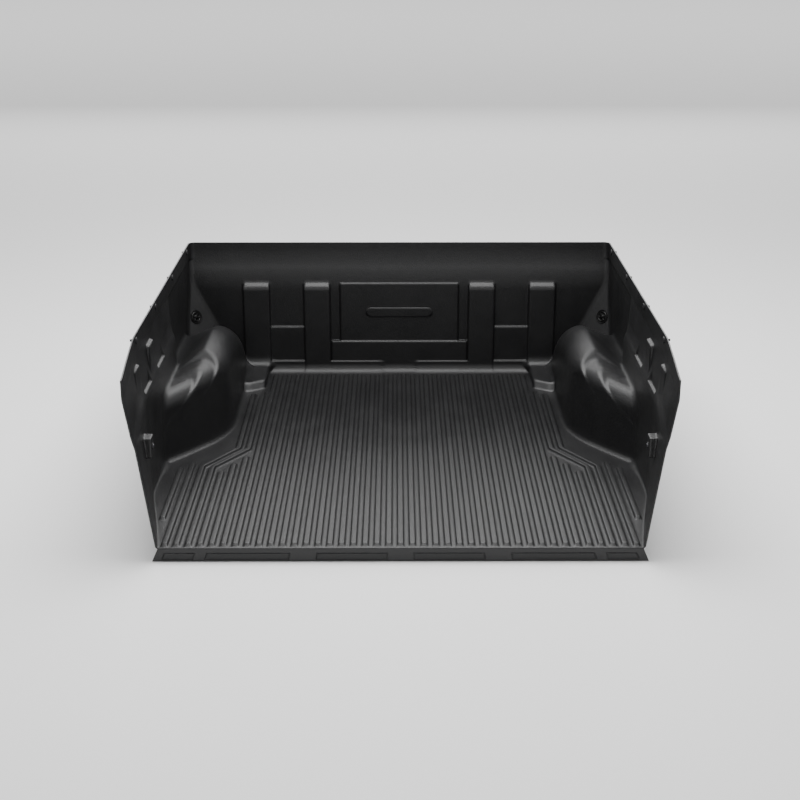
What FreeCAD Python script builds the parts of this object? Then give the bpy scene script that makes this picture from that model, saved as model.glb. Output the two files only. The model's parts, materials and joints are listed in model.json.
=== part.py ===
import FreeCAD, Part
import os
from math import hypot, sqrt

V = FreeCAD.Vector

# An under-rail liner for a mid-size pickup's five-foot bed, in millimetres.
#
# Every shape is drawn in bed coordinates: x runs across from the centre line, y runs forward
# from the floor's rear edge, and z runs up from the tops of the floor ribs.  export() then
# moves it to the part's own frame, whose origin is the middle of the base of the whole box.

# The sheet.
WALL = 4.0
TOP = 492.0
LIP_DROP = 50.0
SLACK = 60.0
CLOSE = 0.01

# The floor: ribs of even pitch that stand on a flat sheet and run from rear to front.
PITCH = 33.5
RIB_HEIGHT = 9.0
RIB_TOP_HALF = 7.15
RIB_FOOT_HALF = 9.55
RIB_REAR = 2.0
RIB_FRONT = 1522.0
REAR_BEVEL = 14.0
FRONT_BEVEL = 4.0
FULL_RIBS = range(1, 15)
SHORT_RIBS = {15: 675.0, 16: 616.0, 17: 551.0}
JOGGED_RIBS = {18: 1325.0, 19: 1290.0}
JOG_PITCHES = 3
JOG_REAR = 581.0
JOG_FRONT = 736.0
JOG_STAGGER = 7.0
EDGE_RIBS = {20: (2.0, 627.0), 21: (125.0, 581.0)}

# The side walls.  Each plan line gives (x, y) from the rear to the front.
FLOOR_LINE = [(688.0, 0.0), (722.0, 184.0), (763.0, 375.0), (763.0, 1558.0)]
LEDGE_LINE = [(732.0, 0.0), (746.0, 179.0), (765.0, 371.0), (765.0, 1558.0)]
UPPER_LINE = [(736.0, 0.0), (754.0, 179.0), (778.0, 371.0), (778.0, 1558.0)]
RAIL_LINE = [(755.0, 0.0), (773.0, 188.0), (790.0, 380.0), (790.0, 1582.0)]
LEDGE_Z = 317.0
RAIL_Z = 436.0
BAND_FRONT = 1006.0
POCKET_FACE = 795.0
NOTCHES = ((405.0, 524.0), (651.0, 776.0))
NOTCH_DEPTH = 7.0
NOTCH_LAP = 2.0
SIDE_PADS = ((301.0, 381.0), (554.0, 634.0))
SIDE_PAD_PROUD = 8.0
SIDE_PAD_TOP = 418.0
SIDE_PAD_SLOPE = 14.0

# The bulkhead.
BULKHEAD_Y = 1558.0
SLOPE_Z = 359.0
BAND_Y = 1582.0
COLUMN_SPANS = ((263.0, 362.0), (492.0, 592.0))
COLUMN_PROUD = 18.0
COLUMN_TOP = 343.0
COLUMN_SLOPE = 17.0
LEDGES = (
    (362.0, 492.0, 170.0, 8.0),
    (362.0, 492.0, 35.0, 16.0),
    (64.0, 263.0, 35.0, 18.0),
)
PANEL_HALF = 225.0
PANEL_LOW = 114.0
PANEL_TOP = 341.0
PANEL_PROUD = 8.0
APRON_HALF = 260.0
APRON_PROUD = 14.0
BADGE_HALF = 109.0
BADGE_Z = 228.0
BADGE_RADIUS = 17.0
BADGE_PROUD = 2.5

# The wheel wells: three nested humps, each with its top height and the two ends of its
# rear face in plan.
WELL_INNER = 580.0
WELL_DRAFT = 5.0
WELL_SHOULDER = 92.0
WELL_OUTER = 860.0
WELL_CROWN = 650.0
WELL_TILT = 0.24
WELL_HUMPS = (
    (221.0, (776.0, 609.0), (612.0, 787.0)),
    (243.0, (776.0, 649.0), (596.0, 661.0)),
    (264.0, (776.0, 846.0), (596.0, 861.0)),
)
WELL_REAR_DRAFT = 26.0
WELL_HIP = ((612.0, 787.0), (583.0, 850.0))
WELL_FALL = (
    (1237.0, 264.0),
    (1392.0, 226.0),
    (1492.0, 160.0),
    (1570.0, 66.0),
    (1642.0, 0.0),
)
BLOCK_PLAN = (
    (500.0, 1347.0),
    (556.0, 1310.0),
    (632.0, 1310.0),
    (632.0, 1590.0),
    (500.0, 1590.0),
)
BLOCK_TOP = 20.0

# The slanted webs in the front corners, with the axis of the plug that closes each one.
WEB_APEX = (786.0, 1558.0, 347.0)
WEB_NORMAL = (0.70, 0.62, -0.355)
WEB_SIZE = 700.0
PLUG_AT = (768.0, 1507.0, 222.0)
PLUG_HOLE_R = 22.0
PLUG_CAP_R = 27.0
PLUG_CAP = 3.0
PLUG_DOME_R = 12.0
PLUG_DOME = 4.0
PLUG_SKIRT_R = 21.6
PLUG_SKIRT = 14.0
PLUG_SKIRT_WALL = 2.0
PLUG_FACE_GAP = 0.3

# The six shallow recesses in the rear lip.
LIP_HALF_LOW = 705.0
LIP_RECESSES = ((38.0, 241.0), (319.0, 558.0), (592.0, 680.0))
LIP_RECESS_TOP = -26.0
LIP_RECESS_LOW = -46.0
LIP_RECESS = 5.0

# The push-in rivets under the bed rails.
RIVET_Y = (420.0, 780.0, 1140.0, 1500.0)
RIVET_Z = 474.0
RIVET_HOLE_R = 5.0
RIVET_NECK_R = 4.8
RIVET_SHANK_R = 4.0
RIVET_SHANK = 14.0
RIVET_HEAD_R = 10.0
RIVET_HEAD = 3.2
RIVET_BORE_R = 2.08
PIN_R = 2.0
PIN_HEAD_R = 3.6
PIN_HEAD = 1.4
PIN_POCKET_R = 3.9
PIN_TIP = 1.0

# The rear screws, each on a flat boss in the angled rear part of the side wall.
BOSS_FACE = 718.0
BOSS_Y = (169.0, 215.0)
BOSS_Z = (195.0, 256.0)
SCREW_HOLE_R = 3.5
SCREW_R = 3.0
SCREW_LENGTH = 18.0
SCREW_POINT_R = 2.4
SCREW_POINT = 9.0
SCREW_HEAD_R = 6.2
SCREW_HEAD = 3.4
SCREW_HEAD_GAP = 0.3
DRIVE_R = 1.9
DRIVE_SIDES = 6
DRIVE_DEPTH = 2.2
WASHER_R = 10.5
WASHER = 2.4
WASHER_FLOOR = 1.0
CLIP_WIDTH = 18.0
CLIP_HEIGHT = 26.0
CLIP_SHEET = 0.8
CLIP_GAP = 2.0
CLIP_FOLD_R = 1.6
CLIP_COLLAR_R = 5.0
CLIP_COLLAR = 3.0
CLIP_HOLE_R = 3.2

# The foam strips on the back of the sheet.
FOAM = 4.0
SIDE_FOAM = ((420.0, 1500.0), (440.0, 456.0))
FRONT_FOAM_HALF = 700.0
FRONT_FOAM_Z = (446.0, 474.0)

LENGTH = BAND_Y + WALL + FOAM
SIDES = (("left", -1.0), ("right", 1.0))


def grown(points, by):
    """A closed outline moved outwards by a distance, with mitred corners."""
    area = sum(a[0] * b[1] - b[0] * a[1] for a, b in zip(points, points[1:] + points[:1]))
    turn = by if area > 0 else -by
    lines = []
    for a, b in zip(points, points[1:] + points[:1]):
        along = V(b[0] - a[0], b[1] - a[1], 0).normalize()
        lines.append((V(a[0] + along.y * turn, a[1] - along.x * turn, 0), along))
    moved = []
    for (p, u), (q, w) in zip(lines[-1:] + lines[:-1], lines):
        step = ((q - p).cross(w)).z / (u.cross(w)).z
        moved.append((p.x + u.x * step, p.y + u.y * step))
    return moved


def outline(points, axis, at):
    """A closed wire in the plane at a given place along an axis."""
    place = {
        "x": lambda p: V(at, p[0], p[1]),
        "y": lambda p: V(p[0], at, p[1]),
        "z": lambda p: V(p[0], p[1], at),
    }[axis]
    corners = [place(p) for p in points]
    return Part.makePolygon(corners + corners[:1])


def prism(points, axis, low, high, by=0.0):
    """An outline carried along an axis, and then grown on every face."""
    edge = outline(grown(list(points), by), axis, low - by)
    run = {"x": V(1, 0, 0), "y": V(0, 1, 0), "z": V(0, 0, 1)}[axis]
    return Part.Face(edge).extrude(run * (high - low + 2 * by))


def drafted(low_points, low, high_points, high, by=0.0):
    """A block whose outline changes evenly from one height to another."""
    foot = outline(grown(list(low_points), by), "z", low - by)
    head = outline(grown(list(high_points), by), "z", high + by)
    return Part.makeLoft([foot, head], True, True)


def box(x, y, z, by=0.0):
    """A box from three (low, high) spans, grown on every face."""
    low = V(x[0] - by, y[0] - by, z[0] - by)
    size = V(x[1] - x[0], y[1] - y[0], z[1] - z[0]) + V(2 * by, 2 * by, 2 * by)
    return Part.makeBox(size.x, size.y, size.z, low)


def joined(shapes):
    """One shape from many, with the seams between flush faces removed."""
    return shapes[0].fuse(shapes[1:]).removeSplitter()


def both_sides(shapes):
    """The shapes and their mirror images across the centre line."""
    return shapes + [s.mirror(V(0, 0, 0), V(1, 0, 0)) for s in shapes]


def full_width(line):
    """A closed outline from the plan line of one side wall, run on past the open rear."""
    half = [(line[0][0], -SLACK)] + line
    return half + [(-x, y) for x, y in reversed(half)]


def ribbon(path, half):
    """The outline of a strip of even width along a plan path."""
    ways = [V(b[0] - a[0], b[1] - a[1], 0).normalize() for a, b in zip(path, path[1:])]
    sides = []
    for (x, y), before, after in zip(path, ways[:1] + ways, ways + ways[-1:]):
        middle = (before + after).normalize()
        reach = half / middle.dot(after)
        dx = middle.y * reach
        dy = middle.x * reach
        sides.append(((x + dx, y - dy), (x - dx, y + dy)))
    return [a for a, _ in sides] + [b for _, b in reversed(sides)]


def rib_paths():
    """The plan path of each floor rib on the right half of the floor."""
    ends = {n: (RIB_REAR, RIB_FRONT) for n in FULL_RIBS}
    ends.update({n: (RIB_REAR, front) for n, front in SHORT_RIBS.items()})
    ends.update(EDGE_RIBS)
    paths = [[(n * PITCH, rear), (n * PITCH, front)] for n, (rear, front) in ends.items()]
    for place, (n, front) in enumerate(JOGGED_RIBS.items()):
        x0 = n * PITCH
        x1 = (n - JOG_PITCHES) * PITCH
        stagger = place * JOG_STAGGER
        middle = [(x0, JOG_REAR + stagger), (x1, JOG_FRONT + stagger)]
        paths.append([(x0, RIB_REAR)] + middle + [(x1, front)])
    return paths


def rib(path, by):
    """One rib along a plan path, with sloping sides and ends, drawn larger all round by `by`."""
    rear = (path[0][0], path[0][1] + REAR_BEVEL)
    front = (path[-1][0], path[-1][1] - FRONT_BEVEL)
    foot = grown(ribbon(path, RIB_FOOT_HALF), by)
    head = grown(ribbon([rear] + path[1:-1] + [front], RIB_TOP_HALF), by)
    return Part.makeLoft([outline(foot, "z", by - RIB_HEIGHT), outline(head, "z", by)], True, True)


def ribs(by):
    """All the floor ribs, in mirrored pairs about the one on the centre line."""
    middle = rib([(0.0, RIB_REAR), (0.0, RIB_FRONT)], by)
    return both_sides([rib(path, by) for path in rib_paths()]) + [middle]


def hollow(by):
    """The open space of the bed before anything stands out into it."""
    lower = drafted(full_width(FLOOR_LINE), -RIB_HEIGHT, full_width(LEDGE_LINE), LEDGE_Z, by)
    upper = drafted(full_width(UPPER_LINE), LEDGE_Z, full_width(RAIL_LINE), RAIL_Z, by)
    rail = prism(full_width(RAIL_LINE), "z", RAIL_Z, TOP + SLACK, by)
    inside = BULKHEAD_Y - SLACK
    slope = [(inside, SLOPE_Z), (BULKHEAD_Y, SLOPE_Z), (BAND_Y, RAIL_Z), (inside, RAIL_Z)]
    half = RAIL_LINE[-1][0] - WALL
    front = prism(slope, "x", -half, half, by)
    band_face = LEDGE_LINE[-1][0]
    wall_face = UPPER_LINE[-1][0]
    below = (-RIB_HEIGHT, LEDGE_Z)
    past_band = box((band_face - SLACK, POCKET_FACE), (BAND_FRONT, BULKHEAD_Y), below, by)
    depth = (LEDGE_Z - NOTCH_DEPTH, LEDGE_Z + SLACK)
    notches = [box((band_face - NOTCH_LAP, wall_face - NOTCH_LAP), span, depth, by) for span in NOTCHES]
    return [lower, upper, rail, front] + both_sides([past_band] + notches)


def shoulder_bar(top, start, end, reach, draft, by):
    """A long bar whose inboard face leans back and rounds over into a flat top."""
    along = V(end[0] - start[0], end[1] - start[1], 0).normalize()
    into = V(-along.y, along.x, 0)
    if into.x < 0:
        into = into * -1
    radius = WELL_SHOULDER + by
    edge = top + by
    foot = -SLACK
    lean = draft * (edge - radius - foot) / (top - WELL_SHOULDER)
    origin = V(start[0], start[1], 0) - along * reach
    half_turn = radius * (1 - sqrt(0.5))

    def at(inward, z):
        return origin + into * (inward - by) + V(0, 0, z)

    foot_point = at(0.0, foot)
    arc_start = at(lean, edge - radius)
    arc_middle = at(lean + half_turn, edge - half_turn)
    arc_end = at(lean + radius, edge)
    back_top = at(WELL_OUTER, edge)
    back_foot = at(WELL_OUTER, foot)
    wire = Part.Wire([
        Part.makeLine(foot_point, arc_start),
        Part.Arc(arc_start, arc_middle, arc_end).toShape(),
        Part.makeLine(arc_end, back_top),
        Part.makeLine(back_top, back_foot),
        Part.makeLine(back_foot, foot_point),
    ])
    length = hypot(end[0] - start[0], end[1] - start[1]) + 2 * reach
    return Part.Face(wire).extrude(along * length)


def wheel_well(by):
    """One wheel well: three nested humps, crowned inboard, that fall away to the bulkhead."""
    humps = []
    rise = [(-SLACK, -SLACK), (-SLACK, TOP), (WELL_FALL[0][0], TOP)]
    fall = rise + list(WELL_FALL) + [(WELL_FALL[-1][0], -SLACK)]
    front = prism(fall, "x", WELL_INNER - SLACK, WELL_OUTER, by)
    for top, outer, inner in WELL_HUMPS:
        inboard = shoulder_bar(top, (WELL_INNER, 0.0), (WELL_INNER, BULKHEAD_Y), SLACK, WELL_DRAFT, by)
        rear = shoulder_bar(top, outer, inner, TOP, WELL_REAR_DRAFT, by)
        hip = shoulder_bar(top, *WELL_HIP, TOP, WELL_DRAFT, by)
        over = [(WELL_INNER - SLACK, -SLACK), (WELL_INNER - SLACK, top), (WELL_CROWN, top)]
        over += [(WELL_OUTER, top - WELL_TILT * (WELL_OUTER - WELL_CROWN)), (WELL_OUTER, -SLACK)]
        crown = prism(over, "y", 0.0, LENGTH + SLACK, by)
        humps.append(inboard.common(rear).common(hip).common(front).common(crown))
    return joined(humps)


def corner_web(by):
    """The slanted facet that closes the corner between side wall and bulkhead."""
    normal = V(*WEB_NORMAL).normalize()
    slab = Part.makeBox(WEB_SIZE, WEB_SIZE, WEB_SIZE, V(-WEB_SIZE / 2, -WEB_SIZE / 2, 0))
    tilt = FreeCAD.Rotation(V(0, 0, 1), normal)
    slab.Placement = FreeCAD.Placement(V(*WEB_APEX) - normal * by, tilt)
    rear = WELL_HUMPS[0][1][1] + SLACK
    corner = box((WELL_INNER, WELL_OUTER), (rear, BULKHEAD_Y + SLACK), (-SLACK, WEB_APEX[2]), by)
    return slab.common(corner)


def bulkhead_step(x, top, proud, slope, by):
    """A raised field on the bulkhead, whose top edge slopes back to the main face."""
    face = BULKHEAD_Y - proud
    side = [
        (face, -SLACK),
        (face, top - slope),
        (BULKHEAD_Y, top),
        (BULKHEAD_Y + SLACK, top),
        (BULKHEAD_Y + SLACK, -SLACK),
    ]
    return prism(side, "x", x[0], x[1], by)


def bulkhead_fields(by):
    """The columns, ledges and centre panel that stand out from the bulkhead."""
    pairs = []
    for span in COLUMN_SPANS:
        pairs.append(bulkhead_step(span, COLUMN_TOP, COLUMN_PROUD, COLUMN_SLOPE, by))
    for low, high, top, proud in LEDGES:
        pairs.append(bulkhead_step((low, high), top, proud, proud / 2, by))
    edge = PANEL_PROUD / 2
    panel = bulkhead_step((-PANEL_HALF, PANEL_HALF), PANEL_TOP, PANEL_PROUD, edge, by)
    apron = bulkhead_step((-APRON_HALF, APRON_HALF), PANEL_LOW, APRON_PROUD, edge, by)
    return both_sides(pairs) + [panel, apron]


def badge():
    """A plain raised bar with round ends in the middle of the centre panel."""
    depth = BADGE_PROUD + WALL / 2
    low = BULKHEAD_Y - PANEL_PROUD - BADGE_PROUD
    height = (BADGE_Z - BADGE_RADIUS, BADGE_Z + BADGE_RADIUS)
    bar = [box((-BADGE_HALF, BADGE_HALF), (low, low + depth), height)]
    for x in (-BADGE_HALF, BADGE_HALF):
        bar.append(Part.makeCylinder(BADGE_RADIUS, depth, V(x, low, BADGE_Z), V(0, 1, 0)))
    return joined(bar)


def side_fields(by):
    """The upper wall's pads, the screw boss and the low block beside the wheel well."""
    wall = (UPPER_LINE[-1][0] + RAIL_LINE[-1][0]) / 2
    pads = []
    for span in SIDE_PADS:
        face = wall - SIDE_PAD_PROUD
        profile = [
            (face, LEDGE_Z - SLACK),
            (face, SIDE_PAD_TOP - SIDE_PAD_SLOPE),
            (wall, SIDE_PAD_TOP),
            (wall + SLACK, SIDE_PAD_TOP),
            (wall + SLACK, LEDGE_Z - SLACK),
        ]
        pads.append(prism(profile, "y", span[0], span[1], by))
    boss = box((BOSS_FACE, BOSS_FACE + SLACK), BOSS_Y, BOSS_Z, by)
    block = prism(BLOCK_PLAN, "z", -SLACK, BLOCK_TOP, by)
    return pads + [boss, block]


def cargo_space(by):
    """The space inside the liner: its walls are `by` millimetres behind the visible surface."""
    space = joined(hollow(by))
    fields = both_sides([wheel_well(-by), corner_web(-by)] + side_fields(-by))
    return space.cut(fields + bulkhead_fields(-by) + ribs(-by))


def rear_lip():
    """The strip that hangs over the bed's rear sill, with shallow pressed recesses."""
    half = FLOOR_LINE[0][0] + WALL
    right = [(LIP_HALF_LOW, -LIP_DROP), (half, -RIB_HEIGHT)]
    face = [(-x, z) for x, z in reversed(right)] + right
    plate = prism(face, "y", 0.0, WALL)
    spans = list(LIP_RECESSES) + [(-high, -low) for low, high in LIP_RECESSES]
    height = (LIP_RECESS_LOW, LIP_RECESS_TOP)
    backs = [box(span, (0.0, LIP_RECESS), height, WALL) for span in spans]
    keep = box((-LIP_HALF_LOW, LIP_HALF_LOW), (0.0, SLACK), (-LIP_DROP, -RIB_HEIGHT))
    dents = [box(span, (-SLACK, LIP_RECESS), height) for span in spans]
    return plate.fuse([b.common(keep) for b in backs]).cut(dents)


def web_frame():
    """The plug's seat: its centre on the right web, and the way the plug comes out."""
    outwards = V(*WEB_NORMAL).normalize() * -1
    apex = V(*WEB_APEX)
    centre = V(*PLUG_AT)
    centre = centre - outwards * (centre - apex).dot(outwards)
    return centre, outwards


def sheet_holes():
    """The holes for the plugs, rivets and screws."""
    centre, out = web_frame()
    holes = [Part.makeCylinder(PLUG_HOLE_R, 2 * SLACK, centre - out * SLACK, out)]
    across = V(1, 0, 0)
    for y in RIVET_Y:
        start = V(RAIL_LINE[-1][0] - SLACK / 2, y, RIVET_Z)
        holes.append(Part.makeCylinder(RIVET_HOLE_R, SLACK, start, across))
    start = screw_seat() - across * WALL
    holes.append(Part.makeCylinder(SCREW_HOLE_R, SLACK / 2, start, across))
    return both_sides(holes)


def liner_shell():
    """The one-piece vacuum-formed sheet."""
    sheet = cargo_space(WALL).cut(cargo_space(0.0))
    room = box((-WELL_OUTER, WELL_OUTER), (0.0, LENGTH), (-LIP_DROP, TOP))
    return sheet.common(room).fuse([rear_lip(), badge()]).cut(sheet_holes()).removeSplitter()


def rounded_rim(disc, centre, out, radius):
    """A disc whose rim is rounded where its axis reaches the given centre."""
    rim = [e for e in disc.Edges if e.Closed and abs((e.CenterOfMass - centre).dot(out)) < CLOSE]
    return disc.makeFillet(radius, rim)


def corner_plug():
    """A round cap with a small dome, and a thin skirt that grips the hole in the web."""
    centre, out = web_frame()
    seat = centre + out * PLUG_FACE_GAP
    cap = Part.makeCylinder(PLUG_CAP_R, PLUG_CAP, seat, out)
    cap = rounded_rim(cap, seat + out * PLUG_CAP, out, PLUG_CAP / 2)
    dome = Part.makeSphere(PLUG_DOME_R, seat + out * (PLUG_CAP + PLUG_DOME - PLUG_DOME_R))
    dome = dome.common(Part.makeCylinder(PLUG_DOME_R, PLUG_DOME_R, seat + out, out))
    skirt = Part.makeCylinder(PLUG_SKIRT_R, PLUG_SKIRT, seat, out * -1)
    inside = Part.makeCylinder(PLUG_SKIRT_R - PLUG_SKIRT_WALL, PLUG_SKIRT, seat, out * -1)
    return joined([cap, dome, skirt.cut(inside)])


def mirrored(shape, side):
    """A shape drawn on the right, moved to the side that is asked for."""
    return shape if side > 0 else shape.mirror(V(0, 0, 0), V(1, 0, 0))


def rivet_body(y):
    """A push-in rivet's hollow body: a flat round head and a shank through the wall."""
    wall = V(RAIL_LINE[-1][0], y, RIVET_Z)
    out = V(1, 0, 0)
    face = wall - out * RIVET_HEAD
    head = Part.makeCylinder(RIVET_HEAD_R, RIVET_HEAD, face, out)
    head = rounded_rim(head, face, out, RIVET_HEAD / 2)
    neck = Part.makeCylinder(RIVET_NECK_R, WALL, wall, out)
    shank = Part.makeCylinder(RIVET_SHANK_R, RIVET_SHANK + WALL, wall, out)
    bore = Part.makeCylinder(RIVET_BORE_R, RIVET_SHANK + WALL + RIVET_HEAD, face, out)
    pocket = Part.makeCylinder(PIN_POCKET_R, PIN_HEAD, face, out)
    return head.fuse([neck, shank]).cut([bore, pocket]).removeSplitter()


def rivet_pin(y):
    """The pin that spreads the rivet's shank, pushed home with its head flush."""
    face = V(RAIL_LINE[-1][0] - RIVET_HEAD, y, RIVET_Z)
    out = V(1, 0, 0)
    head = Part.makeCylinder(PIN_HEAD_R, PIN_HEAD, face, out)
    length = RIVET_SHANK + WALL + RIVET_HEAD - PIN_TIP
    stem = Part.makeCylinder(PIN_R, length - PIN_TIP, face, out)
    tip = Part.makeCone(PIN_R, PIN_R / 2, PIN_TIP, face + out * (length - PIN_TIP), out)
    return joined([head, stem, tip])


def screw_seat():
    """Where the rear screw's axis meets the boss."""
    return V(BOSS_FACE, sum(BOSS_Y) / 2, sum(BOSS_Z) / 2)


def cup_washer():
    """A finishing washer with a raised rim round the screw's head."""
    seat = screw_seat()
    inwards = V(-1, 0, 0)
    cone = Part.makeCone(WASHER_R, WASHER_R - WASHER, WASHER, seat, inwards)
    dish = Part.makeCylinder(SCREW_HEAD_R + SCREW_HEAD_GAP, WASHER, seat + inwards * WASHER_FLOOR, inwards)
    hole = Part.makeCylinder(SCREW_HOLE_R, WASHER, seat, inwards)
    return cone.cut([dish, hole])


def rear_screw():
    """A round-headed screw with a six-sided drive."""
    under = screw_seat() + V(-WASHER_FLOOR, 0, 0)
    shank = Part.makeCylinder(SCREW_R, SCREW_LENGTH, under, V(1, 0, 0))
    point = Part.makeCylinder(SCREW_POINT_R, SCREW_LENGTH + SCREW_POINT, under, V(1, 0, 0))
    top = under - V(SCREW_HEAD, 0, 0)
    head = Part.makeCylinder(SCREW_HEAD_R, SCREW_HEAD, top, V(1, 0, 0))
    head = rounded_rim(head, top, V(1, 0, 0), SCREW_HEAD / 2)
    turn = FreeCAD.Rotation(V(1, 0, 0), 360 / DRIVE_SIDES)
    spoke = V(0, DRIVE_R, 0)
    corners = []
    for _ in range(DRIVE_SIDES + 1):
        corners.append(top + spoke)
        spoke = turn.multVec(spoke)
    drive = Part.Face(Part.makePolygon(corners)).extrude(V(DRIVE_DEPTH, 0, 0))
    return head.fuse([shank, point]).cut(drive).removeSplitter()


def clip_nut():
    """A folded spring-steel clip nut on the back of the boss."""
    back = screw_seat() + V(WALL, 0, 0)
    width = (back.y - CLIP_WIDTH / 2, back.y + CLIP_WIDTH / 2)
    low = back.z - CLIP_HEIGHT / 2
    high = back.z + CLIP_HEIGHT / 2
    depth = 2 * CLIP_SHEET + CLIP_GAP
    block = box((back.x, back.x + depth), width, (low, high))
    tops = [e for e in block.Edges if abs(e.CenterOfMass.z - high) < CLOSE]
    fold = [e for e in tops if abs(e.CenterOfMass.y - back.y) < CLOSE]
    block = block.makeFillet(CLIP_FOLD_R, fold)
    gap = (back.x + CLIP_SHEET, back.x + CLIP_SHEET + CLIP_GAP)
    slot = box(gap, width, (low, high - 2 * CLIP_SHEET))
    collar = Part.makeCylinder(CLIP_COLLAR_R, CLIP_COLLAR, back + V(depth, 0, 0), V(1, 0, 0))
    hole = Part.makeCylinder(CLIP_HOLE_R, SLACK, back, V(1, 0, 0))
    return block.cut(slot).fuse(collar).cut(hole).removeSplitter()


def side_foam():
    """A self-adhesive foam strip on the outside of the rail strip."""
    wall = RAIL_LINE[-1][0] + WALL
    return box((wall, wall + FOAM), *SIDE_FOAM)


def front_foam():
    """A self-adhesive foam strip on the front of the bulkhead's top band."""
    front = BAND_Y + WALL
    return box((-FRONT_FOAM_HALF, FRONT_FOAM_HALF), (front, front + FOAM), FRONT_FOAM_Z)


def export(name, shape):
    """Moves a shape to the part's frame and writes it."""
    placed = shape.copy()
    placed.translate(V(0, -LENGTH / 2, LIP_DROP))
    placed.exportStep("parts/" + name + ".step")


def main():
    os.makedirs("parts", exist_ok=True)
    export("liner_shell", liner_shell())
    export("foam_strip_front", front_foam())
    for name, side in SIDES:
        export("corner_plug_" + name, mirrored(corner_plug(), side))
        bodies = Part.makeCompound([mirrored(rivet_body(y), side) for y in RIVET_Y])
        export("rail_rivet_bodies_" + name, bodies)
        for number, y in enumerate(RIVET_Y, 1):
            export("rivet_pin_" + name + "_" + str(number), mirrored(rivet_pin(y), side))
        export("rear_screw_" + name, mirrored(rear_screw(), side))
        export("cup_washer_" + name, mirrored(cup_washer(), side))
        export("clip_nut_" + name, mirrored(clip_nut(), side))
        export("foam_strip_" + name, mirrored(side_foam(), side))


main()
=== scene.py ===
import json
import math

import bmesh
import bpy
import numpy as np
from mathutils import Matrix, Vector, geometry


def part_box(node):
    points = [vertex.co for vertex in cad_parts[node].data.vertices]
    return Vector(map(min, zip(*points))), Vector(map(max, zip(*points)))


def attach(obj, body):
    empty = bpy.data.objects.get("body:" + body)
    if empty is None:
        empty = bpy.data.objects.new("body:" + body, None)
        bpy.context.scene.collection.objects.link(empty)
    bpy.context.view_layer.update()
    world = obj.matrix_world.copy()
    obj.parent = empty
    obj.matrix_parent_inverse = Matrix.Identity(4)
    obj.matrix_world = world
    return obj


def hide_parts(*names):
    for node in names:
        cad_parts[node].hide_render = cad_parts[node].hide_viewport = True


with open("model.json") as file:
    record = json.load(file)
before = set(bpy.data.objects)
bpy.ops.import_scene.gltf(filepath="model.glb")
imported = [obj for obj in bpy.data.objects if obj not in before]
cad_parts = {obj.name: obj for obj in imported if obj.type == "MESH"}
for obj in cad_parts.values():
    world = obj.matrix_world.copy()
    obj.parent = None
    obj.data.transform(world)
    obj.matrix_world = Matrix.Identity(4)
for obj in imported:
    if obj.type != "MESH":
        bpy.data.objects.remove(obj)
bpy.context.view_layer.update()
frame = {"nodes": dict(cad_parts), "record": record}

# The liner's inside surface is drawn in bed millimetres: x across from the centre line, y forward
# from the floor's rear edge and z up from the tops of the ribs.  A distance field, positive in
# the open space, is turned into a mesh on a graded grid.  The ribs are islands in the floor.
MM = 0.001
WALL = 4.0
TOP = 492.0
LIP_DROP = 50.0
FLOOR_Z = -9.0
shell_low, shell_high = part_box("liner_shell")
REAR_Y = shell_low.y / MM
BASE_Z = shell_low.z / MM + LIP_DROP

# Plan lines of the side walls, from the rear to the front.
FLOOR_LINE = ((688, 0), (722, 184), (763, 375), (763, 1600))
LEDGE_LINE = ((732, 0), (746, 179), (765, 371), (765, 1600))
UPPER_LINE = ((736, 0), (754, 179), (778, 371), (778, 1600))
RAIL_LINE = ((755, 0), (773, 188), (790, 380), (790, 1600))
LEDGE_Z = 317
RAIL_Z = 436
BAND_FRONT = 1006
BAND_END_R = 22
BAND_FOOT_R = 7
LEDGE_R = 6
LEDGE_SLOPE = 0.45
LEDGE_START = LEDGE_Z - 14
POCKET_FACE = 795
POCKET_RUN = 60
POCKET_RISE = 12
NOTCHES = ((405, 524), (651, 776))
NOTCH_DEPTH = 7
NOTCH_R = 2.5
SIDE_PADS = ((301, 381), (554, 634))
PAD_FACE = 776
PAD_TOP = 413
PAD_R = 5
PAD_TOP_R = 7
BOSS_FACE = 718
BOSS_Y = (169, 215)
BOSS_Z = (195, 256)
BOSS_R = 4

# The bulkhead: its main face, the slope above it and the fields that stand out from it.  A ledge is
# its near and far x, its top and its face.  The panel and the apron are half width, top and face.
BULKHEAD_Y = 1558
SLOPE_Z = 359
BAND_Y = 1582
SLOPE_R = 12
BAND_R = 10
COLUMNS = ((263, 362), (492, 592))
COLUMN_FACE = 1540
COLUMN_TOP = 343
COLUMN_SLOPE = 17
COLUMN_R = 5
COLUMN_TOP_R = 8
LEDGES = ((362, 492, 170, 1550), (362, 492, 35, 1542), (64, 263, 35, 1540))
PANEL = (225, 341, 1550)
APRON = (260, 114, 1544)
FIELD_R = 4
PANEL_FOOT_R = 3
BADGE_HALF = 109
BADGE_Z = 228
BADGE_R = 17
BADGE_FACE = 1547.5
BADGE_EDGE_R = 1.2
BADGE_FOOT_R = 1.5

# The wheel wells: three lobes like fish scales.  Each has the height of its crown and, but for the
# first, the line in plan along the top of the incline that rises to it.
WELL_INNER = 580
WELL_LEAN = 0.033
WELL_CORNER_R = 60
WELL_SHOULDER = 88
WELL_REAR = ((776, 609), (612, 787))
WELL_REAR_LEAN = 0.08
WELL_REAR_ROUND = 60
WELL_HIP = ((612, 787), (583, 850))
WELL_LOBES = (
    (221, None),
    (243, ((776, 905), (596, 800))),
    (264, ((776, 1045), (596, 950))),
)
STEP_SLOPE = 0.52
STEP_TOP_R = 6
STEP_FOOT_R = 4
# From WELL_CROWN the tops fall towards the side wall, down to the (height, y) line WELL_WALL.
WELL_CROWN = 655
WELL_CROWN_RUN = 125
WELL_WALL = ((216, 677), (206, 909), (192, 1163), (190, 1240))
WELL_WALL_DROP = 40
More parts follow.
